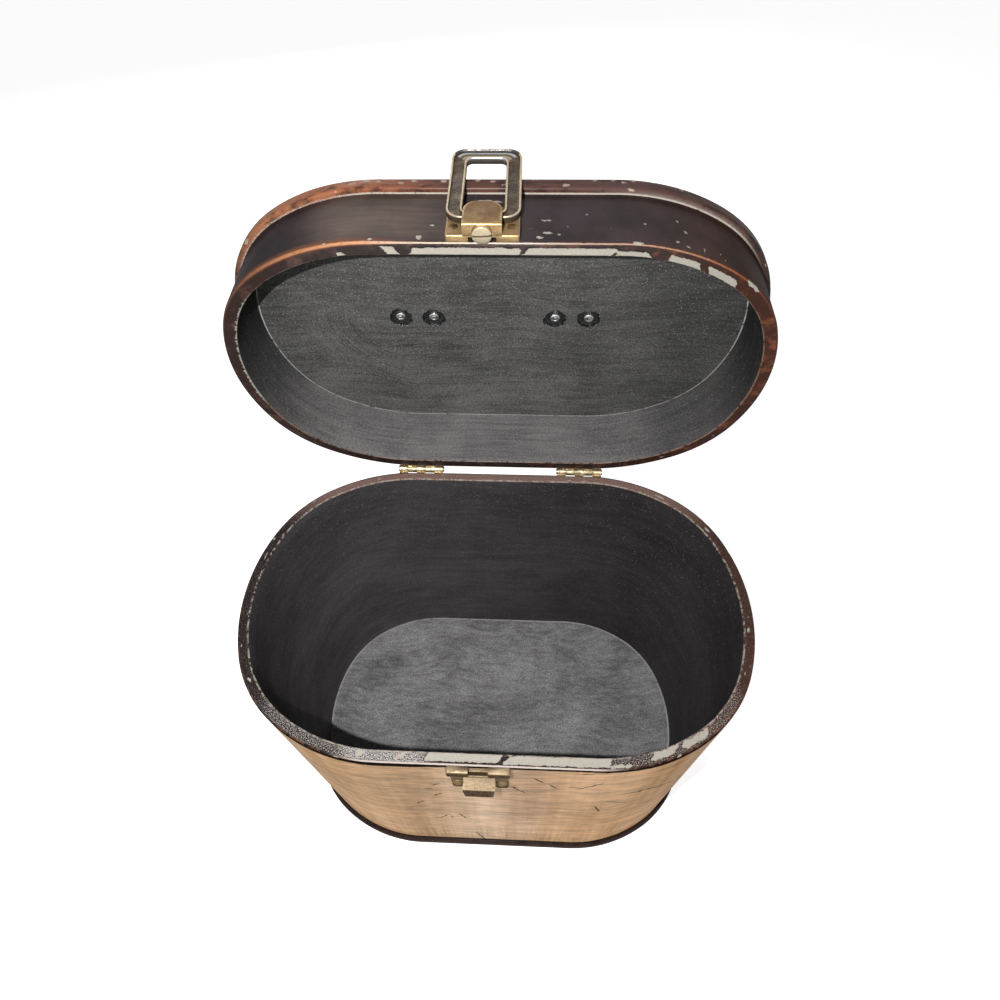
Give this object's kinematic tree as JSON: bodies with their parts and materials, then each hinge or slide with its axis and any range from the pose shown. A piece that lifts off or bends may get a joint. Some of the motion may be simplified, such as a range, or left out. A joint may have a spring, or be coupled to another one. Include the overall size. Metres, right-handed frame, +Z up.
{
  "type": "storage trunk",
  "caption": "Small oval bentwood storage trunk with a hinged lid, a ring latch on its front and a folding carrying handle on the lid.",
  "frame": {"origin": "middle of the underside", "axes": "+Z up, -Y towards the latch front, +Y towards the hinges, +X to the right seen from the front"},
  "size_m": [0.256, 0.2024, 0.3572],
  "materials": {
    "tub_veneer": "worn tan veneer with a fine level grain",
    "lining_boards": "blackened board, brushed",
    "dark_moulding": "dark lacquer, chipped at its edges",
    "lid_lacquer": "very dark brown gloss lacquer",
    "aged_brass": "tarnished pressed sheet",
    "ring_brass": "dark bronzed with bright rubbed edges",
    "handle_metal": "tarnished",
    "fastener_steel": "dulled"
  },
  "bodies": {
    "tub": {"tub_wall": "tub_veneer", "floor_panel": "lining_boards", "base_moulding": "dark_moulding", "hinge_tub_leaf_left": "aged_brass", "hinge_tub_leaf_right": "aged_brass", "hinge_pin_left": "fastener_steel", "hinge_pin_right": "fastener_steel", "hinge_tub_screws": "aged_brass", "catch_plate": "aged_brass", "catch_screws": "aged_brass"},
    "lid": {"lid_wall": "lid_lacquer", "lid_top_panel": "lid_lacquer", "lid_top_moulding": "dark_moulding", "hinge_lid_leaf_left": "aged_brass", "hinge_lid_leaf_right": "aged_brass", "hinge_lid_screws": "aged_brass", "latch_plate": "aged_brass", "latch_guide_rivet": "aged_brass", "latch_plate_screws": "aged_brass", "handle_bracket_left": "handle_metal", "handle_bracket_right": "handle_metal", "handle_bolts": "fastener_steel", "handle_nuts": "fastener_steel"},
    "ring": {"latch_ring": "ring_brass"},
    "handle": {"handle_bail": "handle_metal"}
  },
  "joints": [
    {"name": "lid_hinge", "type": "hinge", "parent": "tub", "child": "lid", "pos_m": [0, 0.07931, 0.18965], "axis": [1, 0, 0], "range_deg": [0, 84.7]},
    {"name": "ring_swing", "type": "hinge", "parent": "lid", "child": "ring", "pos_m": [-0.004, 0.07292, 0.35063], "axis": [1, 0, 0], "range_deg": [0, 180]},
    {"name": "handle_swing", "type": "hinge", "parent": "lid", "child": "handle", "pos_m": [-0.0025, 0.11562, 0.2795], "axis": [1, 0, 0], "range_deg": [0, 190]}
  ]
}
